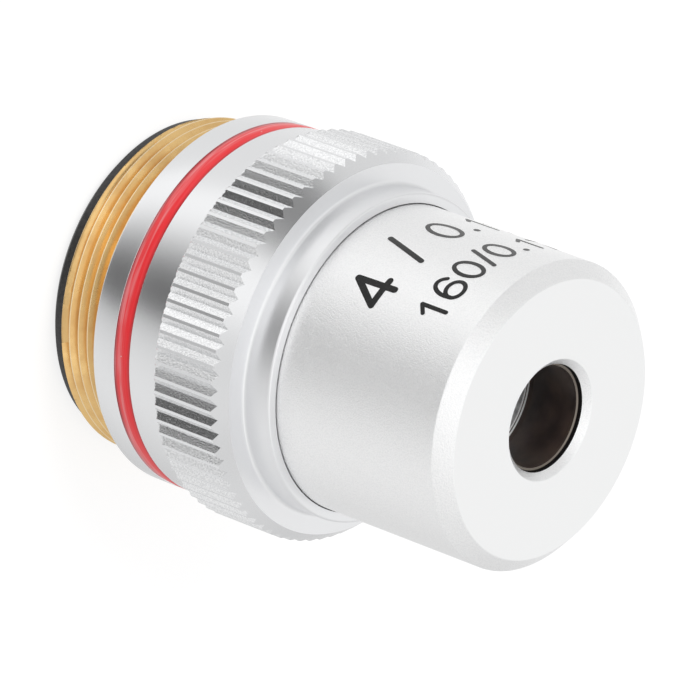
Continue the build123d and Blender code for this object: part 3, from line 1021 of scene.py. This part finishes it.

# Grey and white cards round the object, seen only in its polished metal. They are one sphere
# whose shade changes with the direction, in degrees round the axis and degrees above the table.
# The shades were set in rounds, until the mean greys round each turning of the render came
# near those of the photograph.
cards_radius = 1.2
middle_rise = (-8, 8)
high_rise = (39, 46)
low_shades = [
    (-180, 1.0),
    (-160, 1.0),
    (-144, 0.92),
    (-128, 0.86),
    (-112, 0.84),
    (-66, 0.84),
    (-63, 1.12),
    (-36, 1.10),
    (0, 0.95),
    (26, 0.78),
    (32, 0.72),
    (48, 0.80),
    (64, 0.86),
    (80, 0.87),
    (96, 0.83),
    (112, 0.76),
    (144, 0.68),
    (160, 0.72),
    (180, 1.0),
]
middle_shades = [
    (-180, 0.93),
    (-165, 0.9),
    (-150, 0.74),
    (-96, 0.78),
    (-50, 0.8),
    (-42, 1.0),
    (-30, 1.1),
    (4, 1.1),
    (14, 0.78),
    (32, 0.72),
    (50, 0.8),
    (64, 0.8),
    (80, 0.7),
    (110, 0.78),
    (150, 0.68),
    (165, 0.9),
    (180, 0.93),
]
high_shades = [
    (-180, 0.92),
    (-120, 0.9),
    (-60, 0.96),
    (-40, 1.2),
    (16, 1.2),
    (40, 1.12),
    (90, 1.04),
    (150, 0.92),
    (180, 0.92),
]
# A dark card has a soft left, right, lower and upper edge, and a shade.
dark_cards = [
    ((-44, 6), (25, 27), (-60, -50), (-26, -18), 0.08),
    ((-85, -79), (-38, -32), (18, 24), (36, 40), 0.2),
]


def ramp(value, low, high):
    """Smooth rise from 0 at low to 1 at high."""
    share = min(max((value - low) / (high - low), 0), 1)
    return share * share * (3 - 2 * share)


def read_shade(table, turn):
    """Shade at a direction round the axis, from a table of directions and shades."""
    for (first, first_shade), (last, last_shade) in zip(table, table[1:]):
        if turn <= last:
            return first_shade + (last_shade - first_shade) * (turn - first) / (last - first)
    return table[-1][1]


bpy.ops.object.select_all(action="DESELECT")
bpy.ops.mesh.primitive_uv_sphere_add(segments=240, ring_count=90, radius=cards_radius)
cards = bpy.context.object
cards.name = cards.data.name = "reflected_cards"
card_values = []
for vert in cards.data.vertices:
    turn = math.degrees(math.atan2(vert.co.y, vert.co.x))
    rise = math.degrees(math.asin(max(-1, min(1, vert.co.z / cards_radius))))
    low = read_shade(low_shades, turn)
    middle = read_shade(middle_shades, turn)
    high = read_shade(high_shades, turn)
    shade = low + (middle - low) * ramp(rise, *middle_rise)
    shade += (high - shade) * ramp(rise, *high_rise)
    for left, right, bottom, top, dark in dark_cards:
        cover = ramp(turn, *left) * (1 - ramp(turn, *right))
        cover *= ramp(rise, *bottom) * (1 - ramp(rise, *top))
        shade += (dark - shade) * cover
    card_values.append(shade)
shade_attribute = cards.data.attributes.new("shade", "FLOAT", "POINT")
shade_attribute.data.foreach_set("value", card_values)
card_paper = bpy.data.materials.new("card_paper")
card_paper.use_nodes = True
card_paper.node_tree.nodes.remove(card_paper.node_tree.nodes["Principled BSDF"])
shade_value = node(card_paper, "ShaderNodeAttribute", attribute_name="shade")
card_light = node(card_paper, "ShaderNodeEmission", {1: shade_value.outputs["Fac"]})
card_paper.node_tree.links.new(
    card_light.outputs[0], card_paper.node_tree.nodes["Material Output"].inputs["Surface"]
)
card_paper.cycles.emission_sampling = "NONE"
cards.data.materials.append(card_paper)
cards.visible_camera = False
cards.visible_diffuse = False
cards.visible_shadow = False
cards.visible_transmission = False

# Studio: an even white surround, full where the camera, metal or glass shows it and lower as a
# light, and one broad soft lamp above.
world = bpy.data.worlds.new("studio")
bpy.context.scene.world = world
world.use_nodes = True
surround = world.node_tree.nodes["Background"]
rays = node(world, "ShaderNodeLightPath").outputs
clear = rays["Is Camera Ray"]
for kind in ("Is Glossy Ray", "Is Transmission Ray"):
    clear = node(world, "ShaderNodeMath", {0: clear, 1: rays[kind]}, operation="MAXIMUM").outputs[0]
world.node_tree.links.new(between(world, clear, 0, 1, 0.7, 1.0), surround.inputs["Strength"])
surround.inputs["Color"].default_value = (1, 1, 1, 1)

bpy.ops.object.select_all(action="DESELECT")
bpy.ops.object.light_add(type="AREA", location=(0.35, -0.45, 0.85))
lamp = bpy.context.object
lamp.name = "soft_lamp"
lamp.data.shape = "DISK"
lamp.data.size = 0.5
lamp.data.energy = 3.5
lamp.rotation_euler = lamp.location.to_track_quat("Z", "Y").to_euler()
lamp.visible_glossy = False

bpy.context.scene.view_settings.view_transform = "Standard"

# Camera: the photograph's, from the nose side and above, placed by the fit to the circles of
# the turned edges. The fit calls for a long lens and doesn't settle how long, so it was chosen.
camera_data = bpy.data.cameras.new("camera")
camera_data.sensor_fit = "HORIZONTAL"
camera_data.sensor_width = 36.0
camera_data.lens = 411.43
camera_data.clip_start = 0.01
camera_data.clip_end = 20.0
camera = bpy.data.objects.new("camera", camera_data)
bpy.context.scene.collection.objects.link(camera)
camera.matrix_world = Matrix(
    (
        (-0.57069, 0.21159, 0.79344, 0.36343),
        (-0.34764, -0.93763, 0.0, 0.00022),
        (0.74395, -0.27583, 0.60865, 0.28864),
        (0, 0, 0, 1),
    )
)
bpy.context.scene.camera = camera
